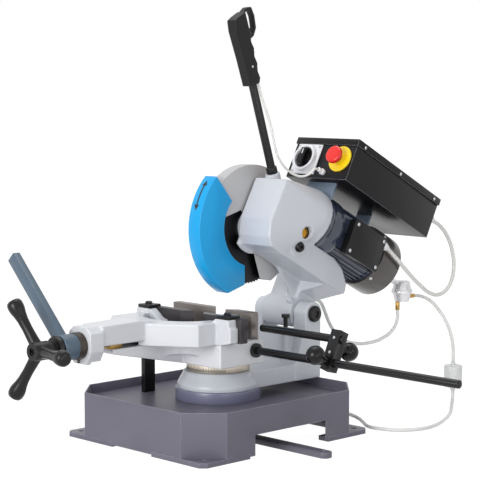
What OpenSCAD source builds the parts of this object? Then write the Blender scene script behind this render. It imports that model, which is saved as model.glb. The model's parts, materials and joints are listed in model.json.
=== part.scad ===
// Bench cold saw: tilting gear head with a 250 mm blade on a mitre turntable, with screw vise and bar stop.
// Millimetres. Origin on the floor under the turntable axis, +X operator's right, +Y to the back, +Z up.
// Head pieces are drawn in a frame at the head pivot: +y along the motor to its fan, +z up off the motor.

/* [Base] */
// Width of the base, left to right
base_w = 435; // [400:1:480]
// Depth of the base, front to back
base_d = 490; // [460:1:540]
// Height of the tray rim above the floor
base_h = 103; // [90:1:120]
// Length cut off each corner of the base
base_corner = 65; // [50:1:80]
// Thickness of the base sheet
sheet_t = 3; // [2:0.5:5]
// Depth of the coolant tray below its rim
tray_depth = 21; // [14:1:26]
// Gap under the sheet between the feet
sheet_gap = 4; // [2:1:8]
// Thickness of the corner feet
foot_t = 10; // [6:1:14]
// Diameter of the foot bolt holes
foot_hole_d = 12; // [8:1:14]
// Distance of a foot hole from the two outer edges
foot_hole_inset = 24; // [22:0.5:26]
// Length of the passage through the base sides
passage_w = 208; // [150:1:260]
// Height of the passage through the base sides
passage_h = 47; // [30:1:55]
// Width of the floor bar
bar_w = 30; // [20:1:40]
// Thickness of the floor bar
bar_t = 12; // [8:1:16]
// Distance the floor bar reaches right of the centre
bar_reach = 325; // [260:1:380]

/* [Turntable] */
// Diameter of the fixed pedestal ring
ring_d = 185; // [180:1:200]
// Height of the pedestal ring above the tray
ring_h = 24; // [22:1:34]
// Diameter of the column that carries the vise table
column_d = 76; // [60:1:90]
// Diameter of the turntable disc
disc_d = 176; // [164:1:184]
// Thickness of the turntable disc
disc_h = 37; // [28:1:40]
// Diameter of the mitre scale
scale_d = 136; // [110:1:150]
// Width over the fork ears
fork_w = 160; // [150:1:170]
// Thickness of the left fork ear
ear_left_t = 26; // [20:1:30]
// Thickness of the right fork ear
ear_right_t = 38; // [30:1:42]
// Radius of the ear tops
ear_r = 26; // [22:0.5:28]
// Distance of the head pivot behind the turntable axis
pivot_y = 214; // [206:1:220]
// Height of the head pivot above the floor
pivot_z = 249; // [244:1:256]
// Diameter of the head pivot pin
pivot_d = 28; // [20:1:30]

/* [Head] */
// Tilt of the raised head about its pivot, in degrees
head_tilt = 27.5; // [26:0.5:29]
// Radius of the pivot hub
hub_r = 35; // [30:0.5:36]
// Distance of the blade axis in front of the pivot, along the motor
axis_y = 203; // [200:0.5:206]
// Height of the blade axis over the pivot, square to the motor
axis_z = 115; // [113:0.5:118]
// Left face of the gear case
case_x0 = 20; // [19:0.5:22]
// Width of the gear case
case_w = 94; // [92:1:98]
// Radius of the gear case round the worm wheel
case_r = 47; // [46:0.5:50]
// Radius of the motor flange
flange_r = 69; // [66:0.5:72]
// Thickness of the motor flange
flange_t = 20; // [14:1:24]
// Distance of the motor axis right of the gear case's middle
motor_shift = 5; // [5:0.5:8]
// Distance of the motor face in front of the pivot
motor_face_y = 105; // [100:1:110]

/* [Gears] */
// Module of the worm wheel
gear_m = 2.5; // [2.5:0.5:2.5]
// Teeth on the worm wheel
wheel_teeth = 32; // [32:1:32]
// Pitch radius of the worm
worm_r = 22.5; // [22:0.5:23]
// Face width of the worm wheel
wheel_w = 16; // [10:1:20]

/* [Blade and guards] */
// Diameter of the saw blade
blade_d = 250; // [235:1:250]
// Thickness of the saw blade
blade_t = 2.5; // [2:0.1:3]
// Number of saw teeth
blade_teeth = 90; // [60:2:120]
// Diameter of the blade bore
blade_bore = 32; // [25:1:34]
// Radius of the blade flanges
blade_flange_r = 40; // [30:1:42]
// Outer radius of the fixed upper guard
upper_guard_r = 135; // [134:0.5:140]
// Half width of the fixed upper guard
upper_guard_x = 15; // [14.5:0.1:15]
// Outer radius of the swinging lower guard
lower_guard_r = 156; // [150:0.5:160]
// Half width of the swinging lower guard
lower_guard_x = 18; // [17.7:0.1:18.5]
// Thickness of the guard sheet
guard_t = 2; // [1.5:0.1:2.1]

/* [Motor] */
// Radius of the motor body without its fins
motor_r = 62; // [58:0.5:63]
// Height of the cooling fins
fin_h = 4; // [2:0.5:5]
// Number of cooling fins
fin_count = 36; // [24:2:40]
// Length of the motor body behind the flange
motor_len = 195; // [180:1:205]
// Radius of the fan cover
fan_cover_r = 71; // [70:0.5:74]
// Length of the fan cover
fan_cover_len = 57; // [46:1:64]
// Length of the terminal box along the motor
terminal_len = 110; // [100:1:140]
// Height of the terminal box
terminal_h = 78; // [60:1:84]
// Depth of the terminal box off its pad
terminal_d = 18; // [14:1:24]

/* [Electrical box] */
// Width of the electrical box
ebox_w = 180; // [160:1:190]
// Length of the electrical box
ebox_len = 310; // [280:1:320]
// Height of the electrical box under its lid
ebox_h = 94; // [80:1:100]
// Wall of the electrical box and its lid
ebox_wall = 2; // [1.5:0.5:3]
// Height of the lid's skirt
lid_skirt = 13; // [8:1:18]
// Side of the square main switch plate
switch_side = 72; // [60:1:76]
// Diameter of the emergency stop's yellow disc
estop_disc_d = 60; // [50:1:64]

/* [Handle] */
// Diameter of the pull handle tube
tube_d = 18; // [16:1:22]
// Length of tube between the head and the grip
tube_len = 200; // [150:1:220]
// Forward lean of the tube off the head frame, in degrees
tube_lean = 45; // [40:1:48]
// Thickness of the pistol grip
grip_t = 26; // [24:1:32]

/* [Vise] */
// Height of the vise table top above the floor
table_z = 216; // [214:1:220]
// Thickness of the vise table
table_t = 50; // [44:1:52]
// Reach of the vise table left of the blade
table_left = 165; // [160:1:180]
// Reach of the vise table right of the blade
table_right = 110; // [108:1:120]
// Front edge of the vise table, in front of the axis
table_front = 96; // [92:1:104]
// Back edge of the vise table, behind the axis
table_back = 30; // [28:1:36]
// Reach of the table's tongue in front of the axis
tongue_reach = 286; // [282:1:288]
// Height of the jaws above the table
jaw_h = 57; // [44:1:57]
// Thickness of each jaw plate
jaw_t = 20; // [14:1:20]
// Front plane of the fixed jaws behind the axis
jaw_y = 7; // [5:0.5:9]
// Half the gap that the blade passes between the jaws
jaw_gap = 15; // [12:0.5:16]
// Opening of the vise as it stands
vise_open = 62; // [50:1:70]
// Sideways place of the lead screw, left of the blade
screw_x = -28; // [-30:1:-26]
// Height of the lead screw above the floor
screw_z = 230; // [229:0.5:231]
// Diameter of the lead screw
screw_d = 22; // [16:1:24]
// Diameter of the clamp lever's sleeve
sleeve_d = 53; // [46:1:56]
// Length of the clamp lever
lever_len = 220; // [160:1:240]
// Reach of a handwheel arm
wheel_reach = 100; // [80:1:104]

/* [Bar stop] */
// Diameter of the stop rail and the stop rod
rail_d = 16.5; // [12:0.5:18]
// Right end of the stop rail
rail_end = 655; // [560:1:680]
// Height of the stop rail above the floor
rail_z = 196; // [192:1:198]
// Place of the stop block along the rail
block_x = 327; // [250:1:420]
// Distance between the rail and the stop rod
rod_pitch = 50; // [44:1:54]
// Lean of the stop block to the back, in degrees
block_lean = 25; // [15:1:30]
// Diameter of the clamp knobs
knob_d = 39; // [30:1:42]

/* [Hoses and cables] */
// Diameter of the coolant hoses
hose_d = 8; // [7:0.5:9]
// Diameter of the motor cable
motor_cable_d = 9; // [8:0.5:10]
// Diameter of the handle cable
handle_cable_d = 5; // [4:0.5:6]

/* [Hidden] */
$fn = 64;

// Radial clearance of a turning fit, and the gap left between parts that pass each other
fit = 0.05;
gap = 0.5;

// Heights that follow from the base
tray_z = base_h - tray_depth;
tank_w = base_w - 175;
tank_y0 = base_d / 2 - 125;
tank_y1 = base_d / 2 - 13;
tank_z = 20;
port_x = 113;
port_z = 24;
disc_z = tray_z + ring_h;
disc_top = disc_z + disc_h;
table_bottom = table_z - table_t;
block_top = pivot_z - hub_r - 7;
ear_left_x = -fork_w / 2 + ear_left_t;
ear_right_x = fork_w / 2 - ear_right_t;
stop_y = pivot_y - hub_r - 11;

// Worm, wheel and motor line, in the head frame
wheel_r = gear_m * wheel_teeth / 2;
worm_pitch = PI * gear_m;
motor_z = axis_z + wheel_r + worm_r;
case_x1 = case_x0 + case_w;
case_x = (case_x0 + case_x1) / 2;
motor_x = case_x + motor_shift;
fin_r = motor_r + fin_h;
motor_end_y = motor_len - motor_face_y;
fan_end_y = motor_end_y + fan_cover_len;
shaft_r = 12;
rotor_r = 38;
rotor_gap = 3;

// Electrical box corner and controls, in the head frame
terminal_y = 62;
ebox_x0 = case_x - ebox_w / 2;
ebox_y0 = -motor_face_y - 18;
ebox_z0 = motor_z + flange_r + 25;
lid_over = 3;
lid_z = ebox_z0 + ebox_h;
switch_x = ebox_x0 + 46;
switch_z = ebox_z0 + 44;
estop_x = ebox_x0 + ebox_w - 35;
estop_z = ebox_z0 + 48;

// Foot of the pull handle, in the head frame
tube_x = 48;
tube_y = -231;
tube_z = 232;

// Vise places in front of the axis
moving_y = jaw_y - vise_open;
yoke_back = moving_y - jaw_t;
yoke_z = table_z + 0.3;
yoke_h = 46;
yoke_left = 140;
yoke_right = 97;
wing_left = 160;
wing_right = 140;
wing_z = table_z + 55;
mouth_x = -32;
mouth_half = 89;
mouth_d = 76;
tongue_half = 22;
arm_half = 32;
arm_y = yoke_back - 134;
boss_y = yoke_back - 245;
screw_end = yoke_back - 130;
boss_len = 35;
boss_wall = 11;
boss_in = boss_y - boss_len + boss_wall;
ring_t = 7;
sleeve_len = 46;
sleeve_y = boss_y - boss_len - ring_t;
wheel_y = sleeve_y - sleeve_len - 2;
wheel_dish = 11;

// Line of the bar stop's rail
rail_y = 3;
rail_r = rail_d / 2;

// Turns a polar point about a centre into a flat one
function polar(r, a) = [r * cos(a), r * sin(a)];
function arc(c, r, a0, a1, n) = [for (i = [0:n]) c + polar(r, a0 + (a1 - a0) * i / n)];
function unit(v) = v / norm(v);

// Frame of the tilting head
module head_frame() translate([0, pivot_y, pivot_z]) rotate([-head_tilt, 0, 0]) children();
// Frame of the blade axis inside the head frame
module axis_frame() head_frame() translate([0, -axis_y, axis_z]) children();
// Frame of the motor axis inside the head frame
module motor_frame() head_frame() translate([motor_x, 0, motor_z]) children();
// Frame of the handle, +z along the tube
module tube_frame() head_frame() translate([tube_x, tube_y, tube_z]) rotate([tube_lean, 0, 0]) children();
// Frame of the lead screw
module screw_frame() translate([screw_x, 0, screw_z]) children();
// Frame of the stop rail, +z up the leaning block
module rail_frame() translate([0, rail_y, rail_z]) rotate([-block_lean, 0, 0]) children();

// Rods along X and Y, and outlines extruded along X and Y
module rod_x(r, x0, x1) translate([x0, 0, 0]) rotate([0, 90, 0]) cylinder(r = r, h = x1 - x0);
module rod_y(r, y0, y1) translate([0, y0, 0]) rotate([-90, 0, 0]) cylinder(r = r, h = y1 - y0);
module slab_x(points, x0, x1)
    translate([x0, 0, 0]) rotate([90, 0, 90]) linear_extrude(x1 - x0) polygon(points);
module slab_y(points, y0, y1)
    translate([0, y1, 0]) rotate([90, 0, 0]) linear_extrude(y1 - y0) polygon(points);
module box(x0, x1, y0, y1, z0, z1) translate([x0, y0, z0]) cube([x1 - x0, y1 - y0, z1 - z0]);
module hex_x(flats, x0, x1)
    translate([x0, 0, 0]) rotate([0, 90, 0]) cylinder(d = flats / cos(30), h = x1 - x0, $fn = 6);

// Rectangle with its four corners cut
function cut_corners(w, d, c) = [
    [w / 2, -d / 2 + c], [w / 2, d / 2 - c], [w / 2 - c, d / 2], [-w / 2 + c, d / 2],
    [-w / 2, d / 2 - c], [-w / 2, -d / 2 + c], [-w / 2 + c, -d / 2], [w / 2 - c, -d / 2]
];

// Tube swept along hand-set points, square to its route at every point
module hose(points, d, sides = 8) {
    last = len(points) - 1;
    along = [for (i = [0:last]) unit(points[min(i + 1, last)] - points[max(i - 1, 0)])];
    side = [for (t = along) unit(cross(t, abs(t[0]) < 0.9 ? [1, 0, 0] : [0, 0, 1]))];
    rings = [for (i = [0:last], k = [0:sides - 1])
        points[i] + d / 2 * (cos(360 * k / sides) * side[i]
            + sin(360 * k / sides) * cross(along[i], side[i]))];
    walls = [for (i = [0:last - 1], k = [0:sides - 1], half = [0, 1])
        let (a = i * sides + k, b = i * sides + (k + 1) % sides)
        half == 0 ? [b + sides, b, a] : [a + sides, b + sides, a]];
    caps = [for (k = [1:sides - 2], far = [0, last * sides])
        far == 0 ? [k, k + 1, 0] : [far + k + 1, far + k, far]];
    polyhedron(rings, concat(walls, caps));
}

// Folded tray on plinth walls, with side passages and two hangers for the floor bar
module base_tray() color("dimgray") {
    difference() {
        translate([0, 0, sheet_gap]) linear_extrude(base_h - sheet_gap)
            polygon(cut_corners(base_w, base_d, base_corner));
        translate([0, 0, tray_z]) linear_extrude(tray_depth + 1)
            polygon(cut_corners(base_w - 2 * sheet_t, base_d - 2 * sheet_t, base_corner - sheet_t / 2));
        translate([0, 0, -1]) linear_extrude(tray_z - sheet_t + 1)
            polygon(cut_corners(base_w - 2 * sheet_t, base_d - 2 * sheet_t, base_corner - sheet_t / 2));
        box(-base_w, base_w, 4 - passage_w / 2, 4 + passage_w / 2, -1, passage_h);
        foot_plates();
    }
    for (s = [-1, 1]) translate([s * 60, 5, 0]) box(-4, 4, -bar_w / 2, bar_w / 2, bar_t, tray_z - sheet_t);
}

// Flat plates of the four feet, without their holes
module foot_plates() for (sx = [-1, 1], sy = [-1, 1]) scale([sx, sy, 1]) linear_extrude(foot_t) polygon([
    [base_w / 2 - 12, base_d / 2], [base_w / 2 - 155, base_d / 2], [base_w / 2 - 155, base_d / 2 - 28],
    [base_w / 2 - base_corner - 12, base_d / 2 - 28], [base_w / 2 - 28, base_d / 2 - base_corner - 12],
    [base_w / 2 - 28, base_d / 2 - 130], [base_w / 2, base_d / 2 - 130], [base_w / 2, base_d / 2 - 12]
]);

// Corner plates with the bolt holes, under the base walls
module corner_feet() color("dimgray") difference() {
    foot_plates();
    for (sx = [-1, 1], sy = [-1, 1])
        translate([sx * (base_w / 2 - foot_hole_inset), sy * (base_d / 2 - foot_hole_inset), -1])
            cylinder(d = foot_hole_d, h = foot_t + 2);
}

// Flat steel bar across the floor, with a rounded end and a screw
module floor_bar() color("gray") translate([0, 5, 0]) {
    box(-200, bar_reach - bar_w / 2, -bar_w / 2, bar_w / 2, 0, bar_t);
    translate([bar_reach - bar_w / 2, 0, 0]) cylinder(d = bar_w, h = bar_t);
    translate([bar_reach - bar_w / 2, 0, bar_t]) cylinder(d = 10, h = 3);
}

// Open-topped coolant tank hung under the back of the tray
module coolant_tank() color("silver") difference() {
    box(-tank_w / 2, tank_w / 2, tank_y0, tank_y1, tank_z, tray_z - sheet_t);
    box(-tank_w / 2 + 2, tank_w / 2 - 2, tank_y0 + 2, tank_y1 - 2, tank_z + 2, tray_z);
}

// Hose tail on the back wall of the base
module hose_port() color("goldenrod") translate([port_x, base_d / 2, port_z]) {
    rod_y(9, 0, 6);
    rod_y(5, 0, 13);
}

// Fixed ring on the tray and the column through the turntable
module pedestal() color("dimgray") {
    translate([0, 0, tray_z]) cylinder(d = ring_d, h = ring_h);
    translate([0, 0, tray_z]) cylinder(d = column_d, h = table_bottom - tray_z);
}

// Prop between the tray and the left end of the vise table
module vise_post() color("#222222") 
    translate([14 - table_left, 28 - table_front, 0]) box(-6, 6, -15, 15, tray_z, table_bottom);

// Graduated ring under the vise table
module mitre_scale() color("tan") translate([0, 0, disc_top + 1]) difference() {
    cylinder(d = scale_d, h = table_bottom - disc_top - 1);
    translate([0, 0, -1]) cylinder(d = scale_d - 16, h = table_t);
}

// Vise table with its tongue, pockets for the swung blade and a bore for the stop rail
module vise_table() color("gainsboro") difference() {
    union() {
        box(-table_left, table_right, -table_front, table_back, table_bottom, table_z);
        slab_x([[-table_front + 1, table_bottom], [-table_front + 1, table_z], [-tongue_reach, table_z],
            [-tongue_reach, table_z - 10], [-table_front, table_bottom]],
            screw_x - tongue_half, screw_x + tongue_half);
        for (s = [-1, 1]) translate([0, 0, table_z - 28]) linear_extrude(28) polygon([
            [screw_x + s * 21, -table_front + 1],
            for (p = arc([screw_x + s * 82, -table_front - 60], 60, 90, 90 + s * 90, 10)) p,
            [screw_x + s * 21, -table_front - 60]]);
    }
    translate([0, 0, table_z - 18]) linear_extrude(19) {
        polygon([[-8, 0], for (p = arc([0, 0], 80, 220, 320, 12)) p, [8, 0]]);
        polygon([[8, 0], for (p = arc([0, 0], 52, 40, 140, 12)) p, [-8, 0]]);
    }
    translate([0, rail_y, rail_z]) rod_x(rail_r + fit, 79, table_right + 1);
}

// Nut block of the lead screw on the end of the tongue
module screw_nut() color("goldenrod") difference() {
    box(screw_x - 14, screw_x + 14, -tongue_reach, -tongue_reach + 30, table_z, screw_z + 14);
    screw_frame() rod_y(screw_d / 2 + fit, -tongue_reach - 1, -tongue_reach + 31);
}

// Two fixed jaw plates with their inner ends cut away behind for mitre cuts
module fixed_jaws() color("#5a5450") translate([0, 0, table_z]) linear_extrude(jaw_h) {
    for (s = [-1, 1]) scale([s, 1]) {
        end = s < 0 ? table_left - 13 : table_right - 14;
        polygon([[jaw_gap, jaw_y], [end, jaw_y], [end, jaw_y + jaw_t], [jaw_gap + jaw_t, jaw_y + jaw_t]]);
    }
}

// Round rail of the bar stop, with its collar against the table
module stop_rail() color("#222222") translate([0, rail_y, rail_z]) {
    rod_x(rail_r, 80, rail_end);
    rod_x(rail_r + 7, table_right + gap, table_right + 8);
}

// Turning disc with a rear arm that rises into the fork of the head pivot
module turntable() color("silver") difference() {
    union() {
        translate([0, 0, disc_z]) rotate_extrude() polygon([[0, 0], [disc_d / 2, 0], [disc_d / 2, 9],
            [disc_d / 2 - 4, 17], [disc_d / 2 - 10, 27], [scale_d / 2 + 5, disc_h], [0, disc_h]]);
        box(-78, 78, 20, 190, disc_z, disc_top);
        slab_x([[158, disc_top - 1], [182, block_top], [236, block_top], [236, disc_z], [158, disc_z]],
            -fork_w / 2, fork_w / 2);
        for (e = [[-fork_w / 2, ear_left_x], [ear_right_x, fork_w / 2]]) translate([0, pivot_y, 0]) {
            box(e[0], e[1], -ear_r, ear_r - 4, block_top - 1, pivot_z);
            translate([0, 0, pivot_z]) rod_x(ear_r, e[0], e[1]);
        }
        translate([38, stop_y, disc_top - 1]) cylinder(r = 13, h = block_top - disc_top + 1);
    }
    translate([0, 0, disc_z - 1]) cylinder(d = column_d + 2 * fit, h = disc_h + 2);
    translate([0, 0, disc_top]) cylinder(d = scale_d + 4, h = 80);
    translate([0, pivot_y, pivot_z]) rod_x(pivot_d / 2, -fork_w, fork_w);
    translate([38, stop_y, block_top - 20]) cylinder(r = 5, h = 30);
}

// Pivot pin with its two end caps
module pivot_pin() color("#222222") translate([0, pivot_y, pivot_z]) {
    rod_x(pivot_d / 2, -fork_w / 2, fork_w / 2);
    for (s = [-1, 1]) scale([s, 1, 1]) rod_x(18, fork_w / 2, fork_w / 2 + 8);
}

// Stop bolt that sets the lowest place of the head
module stop_bolt() color("gray") translate([38, stop_y, block_top]) {
    translate([0, 0, -20]) cylinder(r = 5, h = 60);
    cylinder(d = 19, h = 10, $fn = 6);
    translate([0, 0, 34]) cylinder(d = 19, h = 8, $fn = 6);
}

// In-line filter that hangs between the two coolant hoses
filter_at = [200, 553, 51];
module hose_filter() color("white") translate(filter_at) {
    translate([0, 0, 8]) cylinder(r = 21, h = 50);
    cylinder(r = 6, h = 66);
}

// Gear case, motor flange, plate under the motor and the neck down to the pivot hub
module head_casting() color("silver") difference() {
    union() {
        head_frame() difference() {
            hull() {
                box(case_x0, case_x1, -axis_y - 44, -axis_y - 40, axis_z + 3, motor_z + 36);
                translate([0, -axis_y, axis_z]) rod_x(case_r, case_x0, case_x1);
                translate([motor_x, 0, motor_z])
                    rod_y(flange_r, -motor_face_y - flange_t, -motor_face_y - flange_t + 1);
            }
            box(-60, case_x0, -axis_y - 100, -motor_face_y - flange_t, 0, 300);
        }
        motor_frame() rod_y(flange_r, -motor_face_y - flange_t, -motor_face_y);
        head_frame() slab_x([[-190, 66], [-31, 64], [35, 69], [32, 87], [4, 112], [-44, 128], [-101, 144],
            [-108, 162], [-130, 162], [-190, 120]], case_x0, case_x1);
        head_frame() slab_x([[-26, 90], [-26, 10], [0, -10], [20, 0], [35, 40], [36, 69], [32, 87], [0, 100]],
            -45, 40);
        head_frame() slab_y([[39, 40], [case_x1, 66], [case_x1, 76], [39, 76]], -25, 35);
        head_frame() slab_x([[-120, 70], [-26, 22], [-20, 70]], 24, 34);
        head_frame() slab_x([[-44, 70], [-25, 16], [-20, 70]], -2, 8);
        head_frame() rod_x(hub_r, ear_left_x + gap, ear_right_x - gap);
        axis_frame() rod_x(40, 10, case_x0 + 2);
        axis_frame() intersection() {
            rod_x(58, upper_guard_x, case_x0 + 2);
            box(0, 40, -28, 60, -60, 60);
        }
        tube_frame() translate([0, 0, -34]) cylinder(r = 16, h = 34);
        head_frame() slab_x([polar(hub_r - 4, 153), polar(48, 158), polar(48, 169), polar(hub_r - 4, 174)],
            26, 41);
    }
    head_frame() rod_x(pivot_d / 2 + fit, -fork_w, fork_w);
    head_frame() rod_x(spring_r + wire_r + 0.3, -fork_w / 2, -19);
    motor_frame() rod_y(fin_r + 2, -motor_face_y, 100);
    motor_frame() rod_y(27, -axis_y - 29, -motor_face_y + 1);
    motor_frame() rod_y(10 + fit, -axis_y - 40, -axis_y - 20);
    head_frame() translate([0, -152, 132]) rod_x(13, case_x1, case_x1 + 60);
    head_frame() translate([0, -150, 99]) rod_x(10, case_x1, case_x1 + 60);
    axis_frame() rod_x(44, 46, 90);
    axis_frame() rod_x(18.5, 9, 107);
    axis_frame() rod_x(28, 28, 107);
    tube_frame() translate([0, 0, -26]) cylinder(d = tube_d, h = 60);
    neck_barb_place() translate([0, 0, -12]) cylinder(r = 4, h = 60);
}

// Two bearings of the blade spindle
module spindle_bearings() color("gray") axis_frame() for (x = [28, 91]) difference() {
    rod_x(28, x, x + 16);
    rod_x(18 + fit, x - 1, x + 17);
}

// Outline of a guard's sheet, cut from a disc by straight edges, in the frame of the blade axis
upper_edge = [polar(53, -57), polar(117, -50), polar(upper_guard_r, -37), polar(260, -30), polar(330, 20),
    polar(330, 90), polar(330, 140), polar(220, 171), polar(80, 188), polar(50, 157)];
lower_edge = [[0, 0], polar(86, 163.5), polar(lower_guard_r, 160.5), polar(260, 160.5), polar(330, 200),
    polar(330, 240), polar(lower_guard_r + 0.1, 269.5), polar(126, 286.5), polar(83, 280.5)];

// Fixed guard over the back of the blade, with the stud that carries the lower guard
module upper_guard() color("silver") axis_frame() {
    difference() {
        intersection() {
            rod_x(upper_guard_r, -upper_guard_x, upper_guard_x);
            slab_x(upper_edge, -20, 20);
        }
        rod_x(upper_guard_r - guard_t, -upper_guard_x + guard_t, upper_guard_x - guard_t);
        rod_x(46, 0, 20);
        guard_notch();
    }
    rod_x(34, -upper_guard_x, -upper_guard_x + guard_t);
    rod_x(12, -24, -upper_guard_x);
    rod_x(18, -24, -lower_guard_x - 0.3);
}

// Room in the upper guard for the motor and its flange
module guard_notch() translate([motor_x, axis_y, motor_z - axis_z])
    rod_y(flange_r + 1.5, -motor_face_y - flange_t - 1.5, 100);

// Finned motor shell with a pad for the terminal box
module motor_body() color("#23252e") motor_frame() difference() {
    union() {
        rod_y(motor_r, -motor_face_y, motor_end_y);
        rod_y(fin_r, -motor_face_y, -motor_face_y + 12);
        rod_y(fin_r, motor_end_y - 12, motor_end_y);
        for (i = [0:fin_count - 1]) rotate([0, 360 * i / fin_count, 0])
            box(motor_r - 2, fin_r, -motor_face_y + 11, motor_end_y - 11, -1, 1);
        box(40, fin_r, -70, 57, -36, 36);
    }
    rod_y(rotor_r + rotor_gap, -60, motor_end_y - 8);
    rod_y(shaft_r + fit, -motor_face_y - 1, -59);
    rod_y(10 + fit, 0, motor_end_y + 1);
}

// Cup over the cooling fan with slots in its end
module fan_cover() color("#4a4644") motor_frame() difference() {
    rod_y(fan_cover_r, motor_end_y - 6, fan_end_y);
    rod_y(fan_cover_r - 2, motor_end_y, fan_end_y - 2);
    rod_y(fin_r, motor_end_y - 7, motor_end_y + 1);
    for (i = [0:15]) rotate([0, 22.5 * i, 0]) box(22, 60, fan_end_y - 3, fan_end_y + 1, -3, 3);
}

// Terminal box on the right of the motor
module terminal_box() color("#222222") motor_frame() difference() {
    box(fin_r, fin_r + terminal_d, terminal_y - terminal_len, terminal_y, -terminal_h / 2 - 5,
        terminal_h / 2 - 5);
    box(fin_r - 1, fin_r + terminal_d - 3, terminal_y - terminal_len + 3, terminal_y - 3, -terminal_h / 2 - 2,
        terminal_h / 2 - 8);
}

// Oil sight glass and drain plug on the right of the gear case
module oil_fittings() color("goldenrod") head_frame() {
    translate([0, -152, 132]) {
        rod_x(11, case_x1, case_x1 + 4);
        rod_x(8, case_x1, case_x1 + 6);
    }
    translate([0, -150, 99]) {
        rod_x(8, case_x1, case_x1 + 3);
        hex_x(10, case_x1, case_x1 + 7);
    }
}

// Electrical box over the motor, open on top under its lid
module electrical_box() color("#222222") head_frame() translate([ebox_x0, ebox_y0, ebox_z0]) difference() {
    cube([ebox_w, ebox_len, ebox_h]);
    translate([ebox_wall, ebox_wall, ebox_wall])
        cube([ebox_w - 2 * ebox_wall, ebox_len - 2 * ebox_wall, ebox_h]);
    translate([switch_x - ebox_x0, 0, switch_z - ebox_z0]) rod_y(13, -1, 9);
    translate([estop_x - ebox_x0, 0, estop_z - ebox_z0]) rod_y(13, -1, 9);
}

// Folded lid with its skirt
module box_lid() color("#2a2a2e") head_frame() difference() {
    box(ebox_x0 - lid_over, ebox_x0 + ebox_w + lid_over, ebox_y0 - lid_over, ebox_y0 + ebox_len + lid_over,
        lid_z - lid_skirt, lid_z + lid_over);
    box(ebox_x0, ebox_x0 + ebox_w, ebox_y0, ebox_y0 + ebox_len, lid_z - 50, lid_z);
}

// Two plates that stand on the motor and carry the box
module box_brackets() color("slategray") motor_frame()
    for (b = [[-motor_face_y + 2, 41], [motor_end_y - 14, 0]]) difference() {
        box(-42, b[1], b[0], b[0] + 6, 20, ebox_z0 - motor_z);
        rod_y(fin_r, b[0] - 1, b[0] + 7);
    }

// Main switch plate with its collar
module switch_plate() color("gainsboro") head_frame()
    translate([switch_x, ebox_y0, switch_z]) difference() {
    union() {
        box(-switch_side / 2, switch_side / 2, -4, 0, -switch_side / 2, switch_side / 2);
        rod_y(31, -15, -4);
    }
    rod_y(24.5, -16, -4);
    rod_y(12 + fit, -10, 1);
}

// Yellow ring behind the emergency stop
module estop_disc() color("gold") head_frame() translate([estop_x, ebox_y0, estop_z]) difference() {
    union() {
        rod_y(estop_disc_d / 2, -4, 0);
        rod_y(14, -11, -4);
    }
    rod_y(10 + fit, -12, 1);
}

// Leaning tube of the pull handle with its foot collar
module handle_tube() color("#222222") tube_frame() {
    translate([0, 0, -26]) cylinder(d = tube_d, h = tube_len + 70);
    cylinder(d = tube_d + 6, h = 14);
}

// Pistol grip with finger waves, a thin finger loop at the back and a slot for the trigger
module pistol_grip() color("#2a2a2e") tube_frame() translate([0, 0, tube_len]) difference() {
    union() {
        slab_x([[-17, 0], [10, 0], [15, 10], [12, 26], [16, 42], [12, 58], [16, 74], [12, 90], [15, 104],
            [14, 154], [-8, 149], [-20, 145], [-23, 122], [-19, 60]], -grip_t / 2, grip_t / 2);
        slab_x([[10, 92], [28, 97], [40, 112], [43, 138], [39, 158], [26, 160], [10, 153]], -7, 7);
    }
    slab_x([[15, 102], [26, 105], [34, 116], [36, 138], [33, 150], [24, 153], [15, 149]], -grip_t, grip_t);
    box(-6.5, 6.5, -2, 16, 105, 143);
    translate([0, 0, -1]) cylinder(d = tube_d, h = 45);
}

// Bracket behind the fan cover that holds the pump
module pump_bracket() color("silver") difference() {
    head_frame() {
        box(72, 118, fan_end_y, fan_end_y + 3, 140, 196);
        box(85, 105, fan_end_y + 3, fan_end_y + 92, 158, 164);
    }
    pump_place() translate([0, 0, -40]) cylinder(d = pump_d, h = 90);
}

// Upright place of the pump behind the motor
pump_d = 48;
pump_h = 47;
pump_at = [95, 493, 276];
module pump_place() translate(pump_at) children();

// Tapered cup of the pump
module pump_cup() cylinder(d1 = pump_d - 14, d2 = pump_d - 6, h = 20);

// Small coolant pump: cup, flange and cap
module coolant_pump() color("silver") pump_place() translate([0, 0, -pump_h / 2]) {
    pump_cup();
    translate([0, 0, 19]) cylinder(d = pump_d, h = 8);
    translate([0, 0, 26]) cylinder(d1 = pump_d - 4, d2 = pump_d - 12, h = pump_h - 26);
}

// Place of the coolant tail at the back of the neck, +z outward along the hose
module neck_barb_place() head_frame() translate([20, 34, 50]) rotate([-90, 0, 0]) children();

// Hose tails of the pump and the neck
module hose_barbs() color("goldenrod") {
    pump_place() translate([0, -15, -pump_h / 2 - 18.5]) cylinder(r = 5, h = 18.5);
    pump_place() difference() {
        translate([0, 0, -14]) rod_y(5, pump_d / 2 - 9, 42);
        translate([0, 0, -pump_h / 2]) pump_cup();
    }
    neck_barb_place() translate([0, 0, -12]) cylinder(r = 4, h = 12 + 18);
}

// Cable glands of the electrical box and the terminal box
module cable_glands() color("white") head_frame() {
    translate([85, 0, 286]) {
        rod_y(7, ebox_y0 - 8, ebox_y0);
        rod_y(5, ebox_y0 - 18, ebox_y0);
    }
    translate([140, ebox_y0 + ebox_len, 322]) {
        rod_y(11, 0, 10);
        rod_y(8, 0, 18);
    }
    translate([150, terminal_y, 198]) {
        rod_y(10, 0, 9);
        rod_y(7, 0, 18);
    }
}

// Coil round the pivot pin that lifts the head
spring_r = 25;
wire_r = 2.4;
module return_spring() color("gray") head_frame() for (i = [0:6])
    translate([ear_left_x + gap + 3 + 4.4 * i, 0, 0]) rotate([0, 90, 0])
        rotate_extrude() translate([spring_r, 0]) circle(r = wire_r, $fn = 16);

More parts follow.
